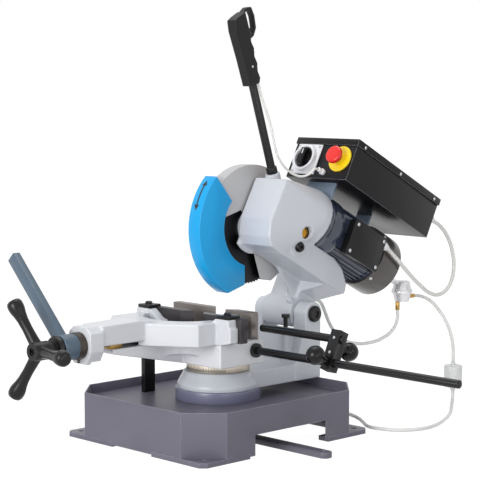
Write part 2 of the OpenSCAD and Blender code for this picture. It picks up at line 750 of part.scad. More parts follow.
// Toothed saw blade
module saw_blade() color("#4c4c50") axis_frame() difference() {
    slab_x([for (i = [0:blade_teeth - 1], k = [0, 1])
        polar(blade_d / 2 - 4 * k, (i + 0.25 * k) * 360 / blade_teeth)], -blade_t / 2, blade_t / 2);
    rod_x(blade_bore / 2, -blade_t, blade_t);
}

// Outer blade flange with its bolt
module blade_flange() color("gray") axis_frame() difference() {
    union() {
        rod_x(blade_flange_r, -9, -blade_t / 2);
        hex_x(24, -12.5, -9);
    }
    rod_x(10, -9, 0);
}

// Blade spindle with its inner flange
module spindle() color("gray") axis_frame() {
    rod_x(18, 8, 104);
    rod_x(blade_flange_r - 2, blade_t / 2, 9);
    rod_x(blade_bore / 2, -blade_t / 2, blade_t / 2);
    rod_x(10, -9, 0);
}

// Worm wheel on the spindle, a gap between teeth straight under the worm
module worm_wheel() color("goldenrod") axis_frame() difference() {
    slab_x([for (i = [0:wheel_teeth - 1], k = [[-2.4, 37], [-0.9, 42], [0.9, 42], [2.4, 37]])
        polar(k[1], 90 + (i + 0.5) * 360 / wheel_teeth + k[0] * 360 / (2 * PI * k[1]))],
        motor_x - wheel_w / 2, motor_x + wheel_w / 2);
    rod_x(18, 0, 120);
}

// Motor shaft with its rotor and the worm
module worm_shaft() color("gray") motor_frame() {
    rod_y(10, -axis_y - 39, motor_end_y + 30);
    rod_y(shaft_r, -axis_y + 20, -59);
    rod_y(19, -axis_y - 26, -axis_y + 26);
    rod_y(rotor_r, -55, motor_end_y - 15);
    translate([0, -axis_y, 0]) worm_thread();
}

// Helical thread of the worm, right-handed along +y, one tooth centred under the axis
module worm_thread() {
    steps = 96;
    turn = 6;
    profile = [[18, -2.6], [24.5, -0.8], [24.5, 0.8], [18, 2.6]];
    points = [for (i = [0:steps], p = profile) let (a = 180 + turn * 360 * (i / steps - 0.5))
        [p[0] * sin(a), worm_pitch * (a - 180) / 360 + p[1], p[0] * cos(a)]];
    walls = [for (i = [0:steps - 1], k = [0:3], half = [0, 1]) let (a = 4 * i + k, b = 4 * i + (k + 1) % 4)
        half == 0 ? [a, b, b + 4] : [a, b + 4, a + 4]];
    polyhedron(points, concat([[2, 1, 0], [3, 2, 0]], walls, [[4 * steps, 4 * steps + 1, 4 * steps + 2],
        [4 * steps, 4 * steps + 2, 4 * steps + 3]]));
}

// Cooling fan on the back of the motor shaft
module cooling_fan() color("#222222") motor_frame() difference() {
    union() {
        rod_y(18, motor_end_y + 8, motor_end_y + 30);
        for (i = [0:7]) rotate([0, 45 * i, 0]) box(10, 58, motor_end_y + 8, motor_end_y + 28, -1.5, 1.5);
    }
    rod_y(10, 0, fan_end_y);
}

// Swinging guard over the front of the blade, turning on the upper guard's stud
module lower_guard() color("dodgerblue") axis_frame() {
    difference() {
        intersection() {
            rod_x(lower_guard_r, -lower_guard_x, lower_guard_x);
            slab_x(lower_edge, -30, 30);
        }
        rod_x(lower_guard_r - 2.5, -lower_guard_x + 2.5, lower_guard_x - 2.5);
        rod_x(85, 0, 30);
        rod_x(12 + fit, -30, 30);
    }
    difference() {
        rod_x(26, -lower_guard_x, -lower_guard_x + 2.5);
        rod_x(12 + fit, -30, 30);
    }
}

// Wing of the yoke behind a moving jaw, its top easing down towards the mouth
module yoke_wing(end) slab_y([[end - 84, yoke_z], [end - 84, yoke_z + 33], [end - 70, yoke_z + 37],
    [end - 58, yoke_z + yoke_h], [end - 47, wing_z - 1], [end - 40, wing_z], [end - 6, wing_z],
    [end - 5, wing_z - 14], [end, wing_z - 19], [end, yoke_z + 7], [end - 30, yoke_z]],
    yoke_back - 22, yoke_back);

// Sliding yoke of the vise: U-shaped body with two wings, arm over the screw and boss
module vise_yoke() color("gainsboro") difference() {
    union() {
        translate([0, 0, yoke_z]) linear_extrude(yoke_h) polygon([[yoke_right, yoke_back],
            for (a = [0:7.5:180]) [mouth_x + mouth_half * cos(a), yoke_back - mouth_d * sin(a)],
            [-yoke_left, yoke_back], [-yoke_left, yoke_back - 104], [screw_x - arm_half - 8, arm_y - 36],
            [screw_x + arm_half, arm_y], [yoke_right, yoke_back - 71]]);
        yoke_wing(wing_right);
        scale([-1, 1, 1]) yoke_wing(wing_left);
        slab_x([[boss_y - 1, screw_z - 3], [boss_y - 1, screw_z + 38], [arm_y - 14, screw_z + 40],
            [arm_y + 50, yoke_z + yoke_h], [arm_y + 50, screw_z - 3]],
            screw_x - arm_half, screw_x + arm_half);
        screw_frame() slab_y([[20, 38], [35, 26], [35, -12], [21, -38], [-21, -38], [-35, -12], [-35, 26],
            [-20, 38]], boss_y - boss_len, boss_y);
    }
    box(screw_x - 17, screw_x + 17, boss_in, screw_end + 12, table_z - 1, screw_z + 16);
    box(screw_x - tongue_half - 1, screw_x + tongue_half + 1, boss_in, boss_y + 1, screw_z - 40, yoke_z);
    screw_frame() rod_y(screw_d / 2 + fit, boss_y - boss_len - 1, boss_in + 1);
}

// Two moving jaw plates with the clamp pads that hold them
module moving_jaws() color("#5a5450") for (s = [-1, 1]) scale([s, 1, 1]) {
    end = s < 0 ? wing_left : wing_right;
    translate([0, 0, yoke_z + 5]) linear_extrude(jaw_h - 5) polygon([[jaw_gap, moving_y], [end + 8, moving_y],
        [end + 8, yoke_back], [jaw_gap + jaw_t, yoke_back]]);
    box(end - 44, end - 8, yoke_back - 20, moving_y - 6, wing_z, wing_z + 7);
}

// Thrust ring between the boss and the clamp lever
module thrust_ring() color("goldenrod") screw_frame() difference() {
    union() {
        rod_y(sleeve_d / 2, boss_y - boss_len - ring_t, boss_y - boss_len);
        translate([0, boss_y - boss_len - ring_t / 2, -sleeve_d / 2 - 9]) cylinder(r = 2.5, h = 12);
    }
    rod_y(screw_d / 2 + fit, boss_y - boss_len - ring_t - 1, boss_y - boss_len + 1);
}

// Lead screw of the vise
module lead_screw() color("gray") screw_frame() rod_y(screw_d / 2, wheel_y - 56, screw_end);

// Three-armed handwheel
module handwheel() color("#222222") screw_frame() translate([0, wheel_y, 0]) difference() {
    union() {
        rod_y(15, -30, 0);
        rod_y(19, -64, -24);
        for (a = [0, 120, 240]) rotate([0, a, 0]) translate([0, -46, 0]) rotate([0, 0, -wheel_dish]) {
            rod_x(8.5, 0, wheel_reach);
            translate([wheel_reach, 0, 0]) sphere(r = 14);
        }
    }
    rod_y(screw_d / 2, -56, 1);
}

// Clamp lever with its sleeve on the screw
module clamp_lever() color("slategray") screw_frame() difference() {
    union() {
        rod_y(sleeve_d / 2, sleeve_y - sleeve_len, sleeve_y);
        rotate([0, -45, 0])
            box(-13, 13, sleeve_y - sleeve_len + 8, sleeve_y - sleeve_len + 26, 18, lever_len + 20);
    }
    rod_y(screw_d / 2 + fit, sleeve_y - sleeve_len - 1, sleeve_y + 1);
}

// Distance of the rod's clamp screw below the rod
clamp_drop = 12.5;

// Block on the rail that carries the stop rod
module stop_block() color("#222222") rail_frame() difference() {
    box(block_x - 12.5, block_x + 12.5, -12.5, 12.5, -17, rod_pitch + 17);
    rod_x(rail_r + fit, 0, rail_end);
    translate([0, 0, rod_pitch]) rod_x(rail_r + fit, 0, rail_end);
    translate([block_x, 0, 0]) rod_y(4 + fit, -20, 0);
    translate([block_x, 0, rod_pitch - clamp_drop]) rod_y(4 + fit, 0, 20);
}

// Rod that the work is pushed against
module stop_rod() color("#2a2a2e") rail_frame() translate([0, 0, rod_pitch]) rod_x(rail_r, 110, block_x + 18);

// Ball knob with its stem, pointing along +y
module ball_knob(reach) difference() {
    union() {
        rod_y(4, rail_r + 0.4, reach);
        rod_y(9, 13, reach - 8);
        translate([0, reach, 0]) sphere(d = knob_d);
    }
    rod_y(5, reach + knob_d / 2 - 2, 80);
}

// Knob that clamps the block to the rail
module rail_knob() color("#222222") rail_frame() translate([block_x, 0, 0]) rotate([0, 0, 180]) ball_knob(49);
// Knob that clamps the rod in the block
module rod_knob() color("#222222") rail_frame()
    translate([block_x, 0, rod_pitch - clamp_drop]) ball_knob(43);

// Trigger in the grip's finger loop
module trigger() color("#3a3a3e") tube_frame() translate([0, 0, tube_len]) box(-6, 6, 4, 19, 110, 138);

// Red mushroom of the emergency stop
module estop_button() color("red") head_frame() translate([estop_x, ebox_y0, estop_z]) {
    rod_y(20, -30, -18);
    rod_y(10, -19, -2);
}

// Turning knob of the main switch
module switch_knob() color("#222222") head_frame() translate([switch_x, ebox_y0, switch_z]) {
    rod_y(24, -9, -4.3);
    box(-6, 6, -22, -8, -20, 20);
    rod_y(12, -10, -1);
}

// Routes of the cables and hoses, set by hand
handle_cable_path = [[56, 65.4, 754.3], [57, 76, 722], [60, 88, 690], [62, 98, 660], [62, 107, 630],
    [60, 118, 603], [60, 132, 583], [61, 149, 568], [66, 166, 557], [74, 182, 553], [82, 196, 558],
    [85, 209, 568], [85, 221, 568]];
motor_cable_path = [[140, 545, 440], [140, 575, 424], [140, 603, 396], [140, 620, 362], [140, 626, 328],
    [141, 618, 297], [142, 596, 274], [144, 565, 266], [146, 532, 273], [148, 495, 294], [151, 455, 322],
    [152, 413, 357], [150, 376, 388]];
pump_hose_path = [[95, 478, 234], [95, 478, 214], [94, 464, 190], [86, 434, 171], [74, 402, 163],
    [60, 370, 164], [48, 345, 174], [38, 328, 192], [30, 316, 216], [24, 309, 240], [20, 300, 260],
    [20, 283, 269]];
suction_hose_path = [[95, 535, 262], [98, 556, 259], [110, 578, 247], [128, 590, 224], [150, 591, 196],
    [173, 578, 172], [191, 563, 150], [200, 553, 128], [200, 553, 117]];
tank_hose_path = [[200, 553, 51], [200, 553, 38], [207, 541, 20], [222, 518, 8], [237, 492, 5],
    [254, 460, 5], [270, 426, 5], [282, 390, 5], [286, 352, 5], [276, 316, 5], [254, 290, 5],
    [224, 277, 5], [200, 273, 5], [181, 277, 6], [165, 285, 9], [146, 291, 14], [130, 288, 19],
    [118, 279, 23], [113, 266, 24], [113, 258, 24]];

// Thin cable from the grip's switch to the electrical box
module handle_cable() color("whitesmoke") hose(handle_cable_path, handle_cable_d);
// Cable from the electrical box to the motor
module motor_cable() color("whitesmoke") hose(motor_cable_path, motor_cable_d);
// Coolant hose from the pump to the neck
module pump_hose() color("whitesmoke") hose(pump_hose_path, hose_d);
// Coolant hose from the filter to the pump
module suction_hose() color("whitesmoke") hose(suction_hose_path, hose_d);
// Coolant hose from the base to the filter
module tank_hose() color("whitesmoke") hose(tank_hose_path, hose_d);

base_tray();
corner_feet();
floor_bar();
coolant_tank();
hose_port();
pedestal();
vise_post();
mitre_scale();
vise_table();
screw_nut();
fixed_jaws();
stop_rail();
turntable();
pivot_pin();
stop_bolt();
hose_filter();
head_casting();
spindle_bearings();
upper_guard();
motor_body();
fan_cover();
terminal_box();
oil_fittings();
electrical_box();
box_lid();
box_brackets();
switch_plate();
estop_disc();
handle_tube();
pistol_grip();
pump_bracket();
coolant_pump();
hose_barbs();
cable_glands();
return_spring();
saw_blade();
blade_flange();
spindle();
worm_wheel();
worm_shaft();
cooling_fan();
lower_guard();
vise_yoke();
moving_jaws();
thrust_ring();
lead_screw();
handwheel();
clamp_lever();
stop_block();
stop_rod();
rail_knob();
rod_knob();
trigger();
estop_button();
switch_knob();
handle_cable();
motor_cable();
pump_hose();
suction_hose();
tank_hose();
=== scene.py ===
import json
import math
import bmesh
import bpy
from mathutils import Matrix, Vector
from mathutils.geometry import interpolate_bezier


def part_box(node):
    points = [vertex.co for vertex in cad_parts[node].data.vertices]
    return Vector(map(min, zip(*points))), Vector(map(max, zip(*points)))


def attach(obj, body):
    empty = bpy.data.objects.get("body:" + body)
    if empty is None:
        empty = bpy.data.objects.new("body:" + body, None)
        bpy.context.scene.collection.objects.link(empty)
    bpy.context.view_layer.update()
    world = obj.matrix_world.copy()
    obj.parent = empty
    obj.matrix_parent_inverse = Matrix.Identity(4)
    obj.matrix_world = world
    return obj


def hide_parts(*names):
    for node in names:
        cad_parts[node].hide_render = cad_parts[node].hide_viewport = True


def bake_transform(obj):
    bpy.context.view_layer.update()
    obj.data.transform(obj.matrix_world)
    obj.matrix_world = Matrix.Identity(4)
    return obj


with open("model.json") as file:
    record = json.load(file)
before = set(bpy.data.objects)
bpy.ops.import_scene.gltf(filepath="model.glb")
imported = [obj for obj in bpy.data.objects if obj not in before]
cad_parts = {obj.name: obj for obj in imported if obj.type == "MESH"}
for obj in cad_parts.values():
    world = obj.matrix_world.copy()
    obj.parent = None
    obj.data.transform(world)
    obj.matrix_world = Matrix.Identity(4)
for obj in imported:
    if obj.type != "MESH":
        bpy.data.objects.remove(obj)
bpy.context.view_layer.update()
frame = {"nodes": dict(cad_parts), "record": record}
joints = {joint["name"]: joint for joint in frame["record"]["behaviour"]["joints"]}


# Base: a box of folded sheet steel with cut corners, a chip tray sunk in its top and flat foot plates welded
# under its corners. Stove enamel in a grey violet with orange peel, rubbed pale along the folds, the pale
# edges being partly wear and partly painted highlight.
def linear(colour):
    channels = [int(colour[i:i + 2], 16) / 255 for i in (1, 3, 5)]
    return [c / 12.92 if c <= 0.04045 else ((c + 0.055) / 1.055) ** 2.4 for c in channels] + [1.0]


def add(material, kind, inputs=(), **settings):
    node = material.node_tree.nodes.new(kind)
    for name, value in settings.items():
        setattr(node, name, value)
    for name, value in dict(inputs).items():
        if isinstance(value, bpy.types.NodeSocket):
            material.node_tree.links.new(value, node.inputs[name])
        else:
            node.inputs[name].default_value = value
    return node


def new_finish(name, **sockets):
    material = bpy.data.materials.new(name)
    material.use_nodes = True
    shader = material.node_tree.nodes["Principled BSDF"]
    for socket, value in sockets.items():
        shader.inputs[socket.replace("_", " ")].default_value = value
    return material, shader, add(material, "ShaderNodeTexCoord").outputs["Object"]


def finish_links(material, shader, colour, roughness, bump=None):
    links = material.node_tree.links
    links.new(colour, shader.inputs["Base Color"])
    links.new(roughness, shader.inputs["Roughness"])
    if bump:
        links.new(bump.outputs["Normal"], shader.inputs["Normal"])


def enamel(name, colour, shade, gloss=0.4, peel_mm=2.2, peel=0.06, coat=0.0, rub_and_highlight=None, rub_and_highlight_mm=1.2, ior=1.5):
    # Sprayed and stoved paint: broad soft changes of shade, orange peel, and edges rubbed to another colour,
    # which is partly wear and partly a painted highlight along every edge.
    material, shader, place = new_finish(name, IOR=ior, Coat_Weight=coat, Coat_Roughness=0.1)
    broad = add(material, "ShaderNodeTexNoise", {"Vector": place, "Scale": 1000 / 120, "Detail": 3.0})
    tone = add(material, "ShaderNodeMix", {"Factor": broad.outputs["Fac"], "A": linear(colour),
                                           "B": linear(shade)}, data_type="RGBA")
    if rub_and_highlight:
        # Edge mask from the bevel's rounded normal: the colour laid on it is a painted highlight as well as
        # rubbed wear.
        soft = add(material, "ShaderNodeBevel", {"Radius": rub_and_highlight_mm / 1000}, samples=4)
        flat = add(material, "ShaderNodeNewGeometry")
        along = add(material, "ShaderNodeVectorMath", {0: soft.outputs["Normal"],
                                                       1: flat.outputs["Normal"]}, operation="DOT_PRODUCT")
        patch = add(material, "ShaderNodeTexNoise", {"Vector": place, "Scale": 1000 / 14, "Detail": 3.0})
        edge = add(material, "ShaderNodeMapRange", {"Value": along.outputs["Value"], "From Min": 0.985,
                                                    "From Max": 0.88})
        share = add(material, "ShaderNodeMath", {0: edge.outputs["Result"], 1: patch.outputs["Fac"]},
                    operation="MULTIPLY")
        tone = add(material, "ShaderNodeMix", {"Factor": share.outputs[0], "A": tone.outputs["Result"],
                                               "B": linear(rub_and_highlight)}, data_type="RGBA")
    fine = add(material, "ShaderNodeTexNoise", {"Vector": place, "Scale": 1000 / peel_mm, "Detail": 2.0})
    rough = add(material, "ShaderNodeMapRange", {"Value": broad.outputs["Fac"], "To Min": gloss - 0.06,
                                                 "To Max": gloss + 0.08})
    bump = add(material, "ShaderNodeBump", {"Height": fine.outputs["Fac"], "Strength": peel,
                                            "Distance": 0.0004})
    finish_links(material, shader, tone.outputs["Result"], rough.outputs["Result"], bump if peel else None)
    return material


def put(name, mesh, body, material, nodes=()):
    piece = bpy.data.objects.new(name, mesh)
    bpy.context.scene.collection.objects.link(piece)
    mesh.materials.clear()
    mesh.materials.append(material)
    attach(piece, body)
    if nodes:
        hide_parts(*nodes)
    return piece


def shaded(bm, name, angle=35):
    # Mesh of a bmesh with its hard edges kept sharp and the rest smooth.
    bmesh.ops.recalc_face_normals(bm, faces=bm.faces)
    for face in bm.faces:
        face.smooth = True
    for edge in bm.edges:
        edge.smooth = len(edge.link_faces) == 2 and edge.calc_face_angle(0) < math.radians(angle)
    mesh = bpy.data.meshes.new(name)
    bm.to_mesh(mesh)
    bm.free()
    return mesh


def node_copy(node):
    bm = bmesh.new()
    bm.from_mesh(frame["nodes"][node].data)
    bmesh.ops.remove_doubles(bm, verts=bm.verts, dist=2e-6)
    bmesh.ops.dissolve_limit(bm, angle_limit=math.radians(0.5), verts=bm.verts, edges=bm.edges)
    return bm


def dress(node, body, material, width=0.0008, angle=50, segments=2):
    # The node's own solid with its outer edges broken, as a worked part has them.
    bm = node_copy(node)
    if width:
        edges = [e for e in bm.edges if e.is_manifold and e.is_convex
                 and e.calc_face_angle(0) > math.radians(angle)]
        bmesh.ops.bevel(bm, geom=edges, offset=width, affect="EDGES", segments=segments, profile=0.5,
                        material=-1, clamp_overlap=True)
    return put(node + "_dressed", shaded(bm, node), body, material, [node])


violet_enamel = enamel("violet grey enamel", "#6a6876", "#5d5b68", 0.42, 2.6, 0.08, 0.08, "#b4b3c0", 1.8,
                       1.4)
dress("base_tray", "base", violet_enamel, 0.0012)
dress("corner_feet", "base", violet_enamel, 0.0009)
pedestal_enamel = enamel("pedestal enamel", "#767690", "#6a6a82", 0.36, 2.6, 0.08, 0.2, "#a9a9be", 1.6)
dress("pedestal", "base", pedestal_enamel, 0.0012)


# Fittings of the base: a floor bar, a sheet tank, a brass hose port and a black prop. Bare metal is drawn
# bar, turned brass or sheet, with lines from the tool, drawn about five times too coarse so that they show.
def bare_metal(name, colour, shade, roughness=0.34, grain_mm=1.2, metallic=1.0):
    material, shader, place = new_finish(name, Metallic=metallic)
    stretch = add(material, "ShaderNodeMapping", {"Vector": place, "Scale": (1.0, 1.0, 6.0)})
    lines = add(material, "ShaderNodeTexNoise", {"Vector": stretch.outputs["Vector"],
                                                 "Scale": 1000 / grain_mm, "Detail": 4.0})
    broad = add(material, "ShaderNodeTexNoise", {"Vector": place, "Scale": 1000 / 60, "Detail": 3.0})
    tone = add(material, "ShaderNodeMix", {"Factor": broad.outputs["Fac"], "A": linear(colour),
                                           "B": linear(shade)}, data_type="RGBA")
    rough = add(material, "ShaderNodeMapRange", {"Value": lines.outputs["Fac"], "To Min": roughness - 0.08,
                                                 "To Max": roughness + 0.1})
    bump = add(material, "ShaderNodeBump", {"Height": lines.outputs["Fac"], "Strength": 0.08,
                                            "Distance": 0.0002})
    finish_links(material, shader, tone.outputs["Result"], rough.outputs["Result"], bump)
    return material


drawn_steel = bare_metal("drawn bar steel", "#9a9ca0", "#85878c")
turned_brass = bare_metal("turned brass", "#b9975a", "#a07f45", 0.3)
tank_sheet = bare_metal("tank sheet", "#c4c6c8", "#b0b2b5")
dress("floor_bar", "base", enamel("bar enamel", "#64636f", "#5a5964", rub_and_highlight="#9a9aa4"), 0.0012)
dress("coolant_tank", "base", tank_sheet)
dress("hose_port", "base", turned_brass, 0.0006)
black_enamel = enamel("black enamel", "#171719", "#121214", 0.26, 2.4, 0.05, 0.0, "#4c4c50", 1.2, 1.36)
dress("vise_post", "base", black_enamel)


# Mitre scale: a turned aluminium ring under the table, with a line for every degree to sixty each way,
# longer at the fives and longest at the tens, cut and filled with black.
scale_metal = bare_metal("scale aluminium", "#e6dccb", "#d2c8b8", 0.42)
dress("mitre_scale", "base", scale_metal, 0.0005)
low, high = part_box("mitre_scale")
ring_r = (high[0] - low[0]) / 2
bm = bmesh.new()
for degree in range(-60, 61):
    tall = 0.011 if degree % 10 == 0 else 0.008 if degree % 5 == 0 else 0.005
    wide = 0.0007 if degree % 5 == 0 else 0.0004
    turn = Matrix.Rotation(math.radians(degree), 4, "Z")
    place = turn @ Matrix.Translation((0, -ring_r, low[2] + 0.002 + tall / 2))
    bmesh.ops.create_cube(bm, size=1.0, matrix=place @ Matrix.Diagonal((wide, 0.0001, tall, 1.0)))
scale_ink = enamel("scale ink", "#26262a", "#1c1c1f", 0.6, 1.0, 0.05)
put("scale_lines", shaded(bm, "scale_lines"), "base", scale_ink)


# Castings: sand-cast iron, filled and sprayed, every edge rounded by the pattern maker's fillets. The
# turntable is one, and its pin has black caps with a round recess.
def casting(node, body, material, voxel=0.0018, rounds=2, angle=60, pattern=None):
    bm = pattern or node_copy(node)
    mesh = bpy.data.meshes.new(node)
    bm.to_mesh(mesh)
    bm.free()
    blank = bpy.data.objects.new(node + "_blank", mesh)
    bpy.context.scene.collection.objects.link(blank)
    remesh = blank.modifiers.new("sand mould", "REMESH")
    remesh.mode = "VOXEL"
    remesh.voxel_size = voxel
    bpy.context.view_layer.update()
    cast = bpy.data.meshes.new_from_object(blank.evaluated_get(bpy.context.evaluated_depsgraph_get()))
    bpy.data.objects.remove(blank)
    bm = bmesh.new()
    bm.from_mesh(cast)
    for _ in range(rounds):
        bmesh.ops.smooth_vert(bm, verts=bm.verts, factor=0.5, use_axis_x=True, use_axis_y=True,
                              use_axis_z=True)
    return put(node + "_cast", shaded(bm, node, angle), body, material, [node])


def turned(bm, profile, place, steps=32):
    # Round body from a profile of radius and height in millimetres, +Z of the place along its axis.
    known = set(bm.verts)
    line = [bm.verts.new((r / 1000, 0, h / 1000)) for r, h in profile]
    edges = [bm.edges.new(pair) for pair in zip(line[:-1], line[1:])]
    bmesh.ops.spin(bm, geom=line + edges, cent=(0, 0, 0), axis=(0, 0, 1), angle=math.tau, steps=steps,
                   use_merge=True)
    fresh = [v for v in bm.verts if v not in known]
    bmesh.ops.remove_doubles(bm, verts=fresh, dist=1e-6)
    bmesh.ops.transform(bm, matrix=place, verts=[v for v in bm.verts if v not in known])


def seat(place, outward):
    return Matrix.Translation(place) @ Vector(outward).to_track_quat("Z", "Y").to_matrix().to_4x4()


def screws(name, spots, body, material, across=8.0, tall=4.0, hexagon=False):
    # One mesh of equal screw heads: round with a socket, or hexagon on a washer.
    bm = bmesh.new()
    r = across / 2
    for place, outward in spots:
        if hexagon:
            turned(bm, [(r * 1.35, -0.5), (r * 1.35, 1.2), (r * 1.1, 1.4), (0, 1.4)], seat(place, outward))
            turned(bm, [(r * 1.15, 1.2), (r * 1.15, tall - 0.8), (r * 0.95, tall), (0, tall)],
                   seat(place, outward), 6)
        else:
            turned(bm, [(r, -0.5), (r, tall * 0.7), (r * 0.82, tall), (r * 0.5, tall),
                        (r * 0.46, tall * 0.35), (0, tall * 0.35)], seat(place, outward), 24)
    return put(name, shaded(bm, name), body, material)


pale_enamel = enamel("pale grey enamel", "#c7cad1", "#bcbfc7", 0.33, 3.0, 0.1, 0.15, "#e6e8ec", 2.2)
# The turntable's enamel is a lighter copy of the head's pale grey: painted light on the sides that the lamps
# leave darker.
turntable_enamel_painted_light = enamel("turntable enamel with painted light", "#ccd0d6", "#c1c4cc", 0.32, 3.0, 0.1, 0.2, "#f0f1f4", 2.2)
casting("turntable", "turntable", turntable_enamel_painted_light)
low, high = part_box("pivot_pin")
pivot = Vector(joints["head_pivot"]["pos_m"])
half = (high[0] - low[0]) * 500
bm = bmesh.new()
turned(bm, [(0, 3 - half), (7, 3 - half), (8, -half), (15, -half), (18, 3 - half), (18, 8 - half),
            (14, 8 - half), (14, half - 8), (18, half - 8), (18, half - 3), (15, half), (8, half),
            (7, half - 3), (0, half - 3)], seat(pivot, (1, 0, 0)), 48)
put("pivot_caps", shaded(bm, "pivot_caps"), "turntable", black_enamel, ["pivot_pin"])
dress("stop_bolt", "turntable", black_enamel, 0.0008)


# Vise: a cast table with a tongue, and a U-shaped yoke that slides on it. The jaws are ground steel plates,
# held to the table by socket screws and, blackened, to the yoke by black pads with hexagon screws.
# The yoke's enamel is a darker copy of the table's: painted shade that holds down its faces turned to the
# key lamp.
yoke_enamel_painted_shade = enamel("vise enamel with painted shade", "#d2d4d8", "#c8cad0", 0.32, 3.0, 0.08, 0.15, "#f0f1f3", 2.0)
table_enamel = enamel("table enamel", "#dddee3", "#d4d5da", 0.32, 3.0, 0.08, 0.15, "#f0f1f3", 2.0)
casting("vise_table", "base", table_enamel)
dress("screw_nut", "base", turned_brass)
jaw_steel = bare_metal("ground jaw steel", "#827b77", "#6e6966", 0.4, 0.9, 0.75)
black_screw = bare_metal("blackened screws", "#38383c", "#2c2c30", 0.35)
bright_screw = bare_metal("zinc screws", "#d2d4d6", "#bcbec2", 0.28)
dress("fixed_jaws", "base", jaw_steel, 0.001)
low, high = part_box("fixed_jaws")
places = (low[0] + 0.025, -0.05, 0.045, high[0] - 0.02)
screws("fixed_jaw_screws", [((x, low[1], low[2] + 0.03), (0, -1, 0)) for x in places], "base", black_screw,
       10, 0.6)
casting("vise_yoke", "yoke", yoke_enamel_painted_shade, 0.0014)
dark_jaw = bare_metal("blackened jaw steel", "#4a474a", "#3a383b", 0.36, 0.9, 0.75)
dress("moving_jaws", "yoke", dark_jaw, 0.001)
low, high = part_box("moving_jaws")
pad_in = 0.034
pads = [(low[0] + pad_in, low[1] + 0.011), (high[0] - pad_in, low[1] + 0.011)]
bm = bmesh.new()
for x, y in pads:
    bmesh.ops.create_cube(bm, size=1.0, matrix=Matrix.Translation((x, y + 0.006, high[2] - 0.0033))
                          @ Matrix.Diagonal((0.0368, 0.0348, 0.0078, 1.0)))
bmesh.ops.bevel(bm, geom=bm.edges[:], offset=0.0018, affect="EDGES", segments=3, profile=0.5, material=-1)
put("clamp_pads", shaded(bm, "clamp_pads"), "yoke", black_enamel)
screws("pad_screws", [((x, y + 0.004, high[2] + 0.0004), (0, 0, 1)) for x, y in pads], "yoke", black_screw,
       13, 6, True)


# Screw of the vise: a bronze thrust ring with a collar, a sleeve with a flat slate-blue clamp lever, and a
# handwheel of three club-ended arms on a flanged hub with a round recess in its end.
screw_x, screw_z = joints["screw_turn"]["pos_m"][::2]
dark_bronze = bare_metal("dark bronze", "#57514b", "#47423d", 0.38)
dress("thrust_ring", "carrier", dark_bronze, 0.0008)
ring_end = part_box("thrust_ring")[1][1]
bm = bmesh.new()
turned(bm, [(26.8, 0.5), (27.2, 0.5), (27.7, 1.2), (27.7, 17), (27.2, 17.6), (26.8, 17.6), (26.8, 0.5)],
       seat((screw_x, ring_end, screw_z), (0, -1, 0)), 64)
put("thrust_collar", shaded(bm, "thrust_collar"), "carrier", dark_bronze)
dress("lead_screw", "screw", drawn_steel, 0.001)
lever_enamel = enamel("slate enamel", "#4c5f71", "#425464", 0.32, 2.4, 0.06, 0.05, "#8797a8", 1.8)
dress("clamp_lever", "lever", lever_enamel, 0.0022, 50, 3)
moulded_black = enamel("moulded black plastic", "#171616", "#121111", 0.27, 0.9, 0.1, 0.0, "#5a5856", 1.6,
                       1.35)
gloss_black = enamel("glossy black plastic", "#111112", "#0d0d0e", 0.2, 1.6, 0.04, 0.0, "#3c3c3e", 1.2,
                     1.33)
low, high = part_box("handwheel")
hub = Vector((screw_x, high[1], screw_z))
bm = bmesh.new()
outer = seat(hub, (0, -1, 0))
turned(bm, [(0, 0), (15, 0), (15, 24), (19, 27), (19, 61), (17, 64), (8.5, 64), (7.5, 54), (0, 54)],
       outer, 48)
turned(bm, [(14, 0.4), (24.5, 0.4), (25.5, 1.4), (25.5, 8), (23.5, 10.5), (14, 12)], outer, 64)
dish = math.radians(11)
for turn in (0, 120, 240):
    arm = Vector((math.cos(math.radians(turn)), -math.tan(dish), -math.sin(math.radians(turn))))
    turned(bm, [(0, 2), (13, 8), (11.4, 24), (10.4, 50), (11.2, 70), (13, 82), (15.4, 91), (16.3, 99),
                (16, 106), (13.6, 111.5), (9, 114), (0, 114)], seat(hub + Vector((0, -0.046, 0)), arm), 32)
clubs = shaded(bm, "handwheel_clubs", 40)
put("handwheel_clubs", clubs, "screw", moulded_black, ["handwheel"])


# Bar stop: a black rail that swings aside, a leaning block that slides on it, a rod and two moulded ball
# knobs, with small bright set screws in the block.
dress("stop_rail", "rail", black_enamel, 0.0012)
dress("stop_block", "block", black_enamel, 0.001)
dress("stop_rod", "rod", black_enamel, 0.0012)
dress("rail_knob", "rail_clamp", gloss_black, 0.001)
dress("rod_knob", "rod_clamp", gloss_black, 0.001)
rail_at = Vector(joints["rail_knob_turn"]["pos_m"])
left_face = Vector(joints["rail_knob_turn"]["axis"])
up_block = (Vector(joints["rod_knob_turn"]["pos_m"]) - rail_at).normalized()
spots = [(rail_at + left_face * 0.0125 + up_block * d, left_face) for d in (0.019, 0.05)]
screws("block_set_screws", spots, "block", bright_screw, 6, 0.6)


# Head casting: gear case with a flat front, motor flange, plate and neck, in the frame of the tilting head.
# Its right side carries a sight glass in a black ring and a black drain plug, on an oval pad.
motor_line = Vector(joints["worm_spin"]["axis"])
across = Vector((1, 0, 0))
turned_head = Matrix((across, motor_line, across.cross(motor_line))).transposed()
head = Matrix.Translation(pivot) @ turned_head.to_4x4()


def in_head(x, y, z):
    return head @ (Vector((x, y, z)) / 1000)


def head_box(node):
    # Lowest and highest corner of a node in the head's own frame, in millimetres.
    places = [head.inverted() @ v.co * 1000 for v in frame["nodes"][node].data.vertices]
    return [Vector([pick(p[i] for p in places) for i in range(3)]) for pick in (min, max)]


out, back = (head.to_3x3().col[i].copy() for i in range(2))
low, high = head_box("oil_fittings")
axle = head.inverted() @ Vector(joints["blade_spin"]["pos_m"]) * 1000
bm = node_copy("head_casting")
